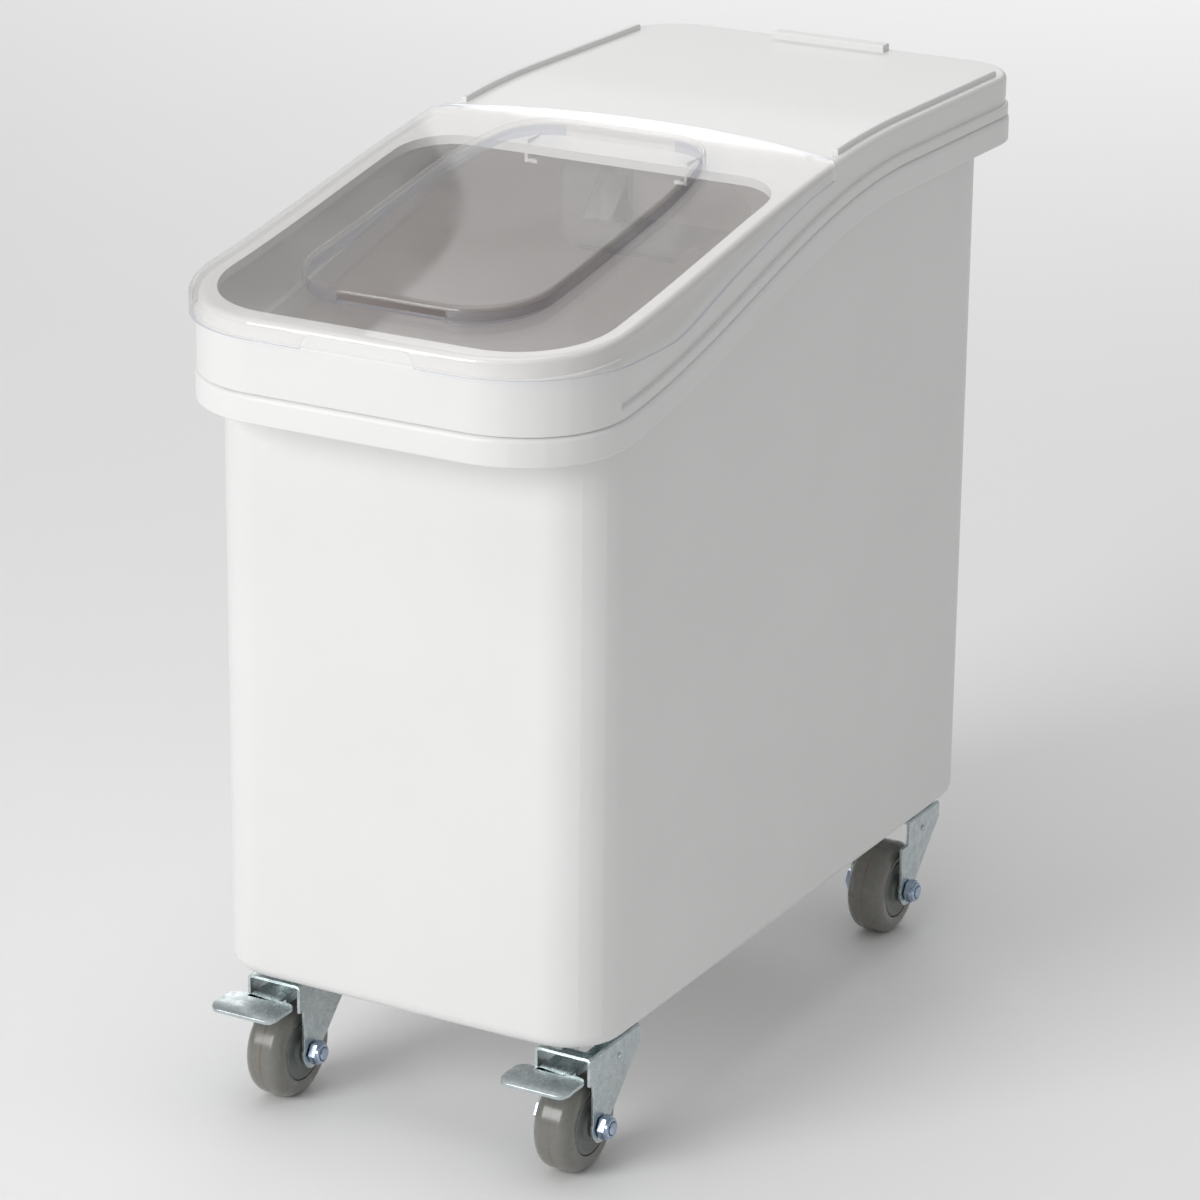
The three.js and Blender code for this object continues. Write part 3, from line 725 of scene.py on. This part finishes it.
def scoop_grip():
    """A hollow grip, open below, whose lower edge has three finger waves."""
    grip = block("scoop_grip", (-13, 13), (-125, 2.4), (642, 686))
    trim(grip, (0, 3, 686), (0, -11, 128))
    trim(grip, (0, -109, 654), (0, -12, -112))
    wave = (127 - 30) / 3
    for i in range(3):
        y = -109 + wave * (i + 0.5)
        z = 654 - 12 * (y + 109) / 112
        carve(grip, rod("wave", 22, (-20, 20), (0, y, z - 16), "X", 40))
    round_edges(grip, 5, 5, lambda a, b, turn: upright(a, b, turn) and a.y < -120)
    hollow = block("grip_hollow", (-10.8, 10.8), (-122.8, -1), (600, 690))
    trim(hollow, (0, 3, 683.8), (0, -11, 128))
    carve(grip, hollow)
    return soften(grip, 0.6, 3, 50)


# ----------------------------------------------------------------- casters
WHEEL_RADIUS, TRAIL = 38.5, 34
PLATE_TOP = FLOOR_Z - 0.3
PLATE_LOW = PLATE_TOP - 3
RACE_TOP = PLATE_LOW - 0.3
CROWN_TOP = RACE_TOP - 8.3
CROWN_LOW = CROWN_TOP - 2.5
FORK_HALF, SHEET_METAL = 23.5, 2.5
HOME = (CASTER_X, -240)


def folds(level):
    """The two long folds of a pressed channel."""
    return lambda a, b, turn: (turn > 30 and abs(a.x - b.x) < 0.01
                               and max(abs(a.z - level), abs(b.z - level)) < 0.01)


def fork_side(braked):
    """The side view of the legs: a deep crown, a sloping back and a round foot at the axle."""
    x, y = HOME
    reach = (x - 30, x + 30)
    front = y - 52 if braked else y - 34
    crown = block("fork_side", reach, (front, y + 23), (WHEEL_RADIUS + 38, CROWN_TOP + 1))
    leg = block("leg", reach, (y - TRAIL - 12, y + 23), (WHEEL_RADIUS, WHEEL_RADIUS + 40))
    side = add(crown, leg)
    trim(side, (0, y + 23, CROWN_TOP - 14), (0, 20.6, -18))
    trim(side, (0, y + 5, WHEEL_RADIUS + 26), (0, 23, -26))
    return add(side, rod("foot", 13, (-30, 30), (x, y - TRAIL, WHEEL_RADIUS), "X", 40))


def make_fork(name, braked):
    x, y = HOME
    fork = block(name, (x - FORK_HALF, x + FORK_HALF), (y - 60, y + 30), (20, CROWN_TOP))
    round_edges(fork, 3.4, 5, folds(CROWN_TOP))
    inner = FORK_HALF - SHEET_METAL
    hollow = block("fork_hollow", (x - inner, x + inner), (y - 70, y + 40), (10, CROWN_LOW))
    round_edges(hollow, 1.3, 4, folds(CROWN_LOW))
    carve(fork, hollow)
    carve(fork, fork_side(braked), "INTERSECT")
    if braked:
        carve(fork, block("window", (x - 14, x + 14), (y - 48, y - 25), (CROWN_LOW - 5, CROWN_TOP + 5), 3, 4))
    carve(fork, rod("axle_hole", 5.4, (-40, 40), (x, y - TRAIL, WHEEL_RADIUS), "X", 32))
    carve(fork, rod("pin_hole", 6.3, (80, 120), (x, y, 0), "Z", 32))
    for side in (-1, 1):
        span = sorted((side * (FORK_HALF - 1), side * (FORK_HALF + 0.5)))
        steps = ((0.6, 0.6), (1.0, 0.3))
        ends = (steps, ()) if side < 0 else ((), steps)
        add(fork, rod("rivet", 2.7, span, (x, y - 8, CROWN_TOP - 14), "X", 20, *ends))
    return smooth(soften(fork, 0.4, 2, 50), 35)


def make_caster():
    """Every piece of a caster at its first place, as (node, body part, piece, material, slot)."""
    x, y = HOME
    axle = (x, y - TRAIL, WHEEL_RADIUS)
    reach = FORK_HALF + 0.3
    jobs = []
    plate = block("plate", (x - 29, x + 29), (y - 34, y + 34), (PLATE_LOW, PLATE_TOP), 10, 8)
    jobs.append(("plate", "bin", smooth(soften(plate, 0.6)), ZINC, "zinc_plate"))
    race = rod("race", 20, (RACE_TOP - 8, RACE_TOP), (x, y, 0), "Z", 56, ((1.2, 0), (10.3, 0)),
               ((1.2, 0), (10.3, 0)), True)
    edit(race)
    for height in (3.2, 3.8, 4.6, 5.2):
        bpy.ops.mesh.select_all(action="SELECT")
        bpy.ops.mesh.bisect(plane_co=place(0, 0, RACE_TOP - 8 + height), plane_no=(0, 0, 1))
    low = RACE_TOP - 4.5
    pick_points(lambda point: low < point.z < low + 1.6 and (point.xy - Vector((x, y))).length > 15)
    bpy.ops.transform.resize(value=(0.93, 0.93, 1))
    leave()
    jobs.append(("race", "swivel", smooth(soften(race, 0.8, 3, 60)), ZINC, "zinc_plate"))
    head = CROWN_LOW - 0.3
    pin = rod("kingpin", 11, (head - 2, head), (x, y, 0), "Z", 40, ((0.8, 0.9), (1.8, 0.7), (3, 0.4)),
              ((5, 0), (0, PLATE_TOP - head)))
    jobs.append(("kingpin", "bin", smooth(pin), ZINC, "zinc_plate"))
    seat = PLATE_LOW - 0.3
    screw = rod("screw", 5.5, (seat - 2.4, seat), (x - 21, y - 26, 0), "Z", 6, ((0.7, 0.5), (2.6, 0.1)), ())
    shank = rod("shank", 2.6, (seat - 1, FLOOR_Z + 6.2), (x - 21, y - 26, 0), "Z", 16, (), ((0.6, 0.6),))
    screw = smooth(join([screw, shank], "screw"))
    for i, (along_x, along_y) in enumerate(((0, 0), (0, 52), (42, 0), (42, 52)), 1):
        jobs.append((f"screw_{i}", "bin", copy_to(screw, f"screw_{i}_home", along_x, along_y), ZINC,
                     "zinc_plate"))
    make_active(screw)
    bpy.ops.object.delete()
    bolt = rod("bolt", AXLE_HEAD, (-reach - 5.2, -reach), axle, "X", 6, ((1.3, 0.8), (4, 0)), ())
    shank = rod("bolt_shank", AXLE_RADIUS, (-reach - 1, reach + 9), axle, "X", 32, (),
                ((0.5, 0.7), (1.2, 0.4), (1, 0.3)))
    jobs.append(("axle_bolt", "swivel", smooth(join([bolt, shank], "bolt")), BLUE_ZINC, "blue_zinc"))
    nut = rod("nut", AXLE_HEAD, (reach + 0.7, reach + 6), axle, "X", 6, ((1.1, 0.7), (2.6, 0)),
              ((1.3, 0.9), (2.2, 0)), True)
    insert = rod("insert", 8, (reach + 6.2, reach + 8), axle, "X", 36, ((2.2, 0),),
                 ((0.9, 0.8), (1.4, 0)), True)
    jobs.append(("axle_nut", "swivel", smooth(join([nut, insert], "nut")), BLUE_ZINC, "blue_zinc"))
    hub_steps = ((0.9, 1.0), (1.2, 0.3), (1.0, -0.3), (1.4, -0.8), (6.6, 0), (1.4, 0.6), (1.0, 1.6),
                 (0.8, 0.8), (2.6, 0))
    hub = rod("hub", 24.5, (-14.4, 14.4), axle, "X", 64, hub_steps, hub_steps, True)
    jobs.append(("hub", "wheel", smooth(hub, 50), HUB_GREY, "hub_grey"))
    tyre = rod("tyre", WHEEL_RADIUS, (-16, 16), axle, "X", 72)
    round_edges(tyre, 9.4, 9, lambda a, b, turn: turn > 60)
    edit(tyre)
    pick_faces(lambda middle, normal: abs(normal.x) > 0.999 and (middle - Vector(axle)).yz.length < 0.3)
    bpy.ops.mesh.inset(thickness=2.2 * MM, use_individual=True)
    bpy.ops.mesh.inset(thickness=1.0 * MM, depth=-0.5 * MM, use_individual=True)
    bpy.ops.mesh.inset(thickness=1.1 * MM, use_individual=True)
    bpy.ops.mesh.bridge_edge_loops()
    leave()
    jobs.append(("tyre", "wheel", smooth(tyre, 50), TYRE_GREY, "tyre_grey"))
    return jobs


def make_pedal():
    """A wide blade with a turned-down front lip, on an arm that runs back between the legs."""
    x, y = HOME
    z = 87
    pedal = block("pedal", (x - 29, x + 29), (y - 98, y - 64), (z, z + 3), 9, 8)
    add(pedal, block("arm", (x - 13, x + 13), (y - 67, y - 28), (z, z + 3)))
    edit(pedal)
    for distance in (94, 90, 86):
        bpy.ops.mesh.select_all(action="SELECT")
        bpy.ops.mesh.bisect(plane_co=place(0, y - distance, 0), plane_no=(0, 1, 0))
    for distance, drop in ((86.5, 0.3), (90.5, 0.5), (94.5, 0.9)):
        pick_points(lambda point: point.y < y - distance)
        bpy.ops.transform.translate(value=(0, 0, -drop * MM))
    pick_faces(lambda middle, normal: normal.z > 0.9 and y - 86 < middle.y < y - 64)
    bpy.ops.mesh.inset(thickness=5 * MM, depth=0)
    leave()
    soften(pedal, 0.9, 3, 50)
    pin = rod("pin", 3, (-12.6, 12.6), (x, y - 28, z + 1), "X", 24, ((0.4, 0.4),), ((0.4, 0.4),))
    shoe = block("shoe", (x - 11, x + 11), (y - 52, y - 34), (2 * WHEEL_RADIUS + 3.5, 86.7))
    jobs = [("pedal", "brake", smooth(join([pedal, pin], "pedal"), 35), ZINC, "zinc_pedal")]
    jobs.append(("brake_shoe", "brake", smooth(soften(shoe, 1, 3)), ZINC, "zinc_pedal"))
    return jobs


CASTERS = [("front_left", -CASTER_X, -240, True), ("front_right", CASTER_X, -240, True),
           ("rear_left", -CASTER_X, 274, False), ("rear_right", CASTER_X, 274, False)]


def build_casters():
    common = make_caster()
    braked = [("fork", "swivel", make_fork("braked_fork", True), ZINC, "zinc_fork")] + make_pedal()
    plain = [("fork", "swivel", make_fork("plain_fork", False), ZINC, "zinc_fork")]
    for name, x, y, has_brake in CASTERS:
        for node, part, home, material, slot in common + (braked if has_brake else plain):
            piece = copy_to(home, f"{name}_{node}_skin", x - HOME[0], y - HOME[1])
            paint(piece, material)
            ship(piece, "bin" if part == "bin" else f"{name}_{part}", slot, f"{name}_{node}")
        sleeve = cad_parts[f"{name}_axle_sleeve"]
        for place_in_list in sleeve.material_slots:
            place_in_list.material = ZINC
    for node, part, home, material, slot in common + braked + plain:
        make_active(home)
        bpy.ops.object.delete()


# ------------------------------------------------------------------- stage
def build_floor():
    deselect()
    bpy.ops.mesh.primitive_plane_add(size=14, location=(0, 0, 0))
    floor = bpy.context.object
    floor.name = "studio_floor"
    material, nodes, links, shader, where = start_material("studio_paper")
    cloud = noise(nodes, links, where, 3.0)
    tone = blend_colours(nodes, links, cloud, (0.94, 0.94, 0.94), (0.96, 0.96, 0.96))
    links.new(tone, shader.inputs["Base Color"])
    shader.inputs["Roughness"].default_value = 0.85
    paint(floor, material)


def area_light(name, spot, aim, size, power, colour=(1, 1, 1)):
    lamp = bpy.data.lights.new(name, "AREA")
    lamp.shape = "RECTANGLE"
    lamp.size, lamp.size_y = size
    lamp.energy = power
    lamp.color = colour
    holder = bpy.data.objects.new(name, lamp)
    bpy.context.scene.collection.objects.link(holder)
    holder.location = spot
    holder.rotation_euler = (Vector(aim) - Vector(spot)).to_track_quat("-Z", "Y").to_euler()


def build_light():
    world = bpy.data.worlds.new("studio")
    bpy.context.scene.world = world
    world.use_nodes = True
    world.node_tree.nodes["Background"].inputs["Color"].default_value = (1.0, 1.0, 1.0, 1)
    world.node_tree.nodes["Background"].inputs["Strength"].default_value = 0.40
    area_light("key", (-1.5, -4.1, 2.2), (0, 0, 0.4), (2.2, 2.2), 98)
    area_light("top", (-0.1, -0.7, 3.0), (0, -0.1, 0.5), (1.8, 1.8), 16)
    area_light("backdrop", (-2.6, 5.4, 3.0), (-2.6, 5.8, 0), (6.0, 3.0), 110)
    area_light("rim", (-1.2, 3.0, 2.2), (0, 0, 0.6), (1.8, 1.6), 7)


def build_camera():
    """Stands off the front right corner, a little above, with a slight roll."""
    azimuth, elevation = math.radians(29.3), math.radians(19.51)
    distance, roll = 3.5875, math.radians(0.609)
    target = Vector((-0.0100, MIDDLE_Y - 0.0007, 0.3369))
    back = Vector((math.sin(azimuth) * math.cos(elevation), -math.cos(azimuth) * math.cos(elevation),
                   math.sin(elevation)))
    right = Vector((0, 0, 1)).cross(back).normalized()
    up = back.cross(right)
    right_rolled = right * math.cos(roll) + up * math.sin(roll)
    up_rolled = up * math.cos(roll) - right * math.sin(roll)
    camera = bpy.data.cameras.new("camera")
    camera.sensor_width = 36
    camera.lens = 138.16
    camera.clip_end = 50
    holder = bpy.data.objects.new("camera", camera)
    bpy.context.scene.collection.objects.link(holder)
    matrix = Matrix((right_rolled, up_rolled, back)).transposed().to_4x4()
    matrix.translation = target + back * distance
    holder.matrix_world = matrix
    bpy.context.scene.camera = holder


build_camera()
build_light()
build_floor()
build_tub()
build_frame()
build_lid()
build_scoop()
build_casters()
bpy.context.scene.view_settings.view_transform = "Standard"
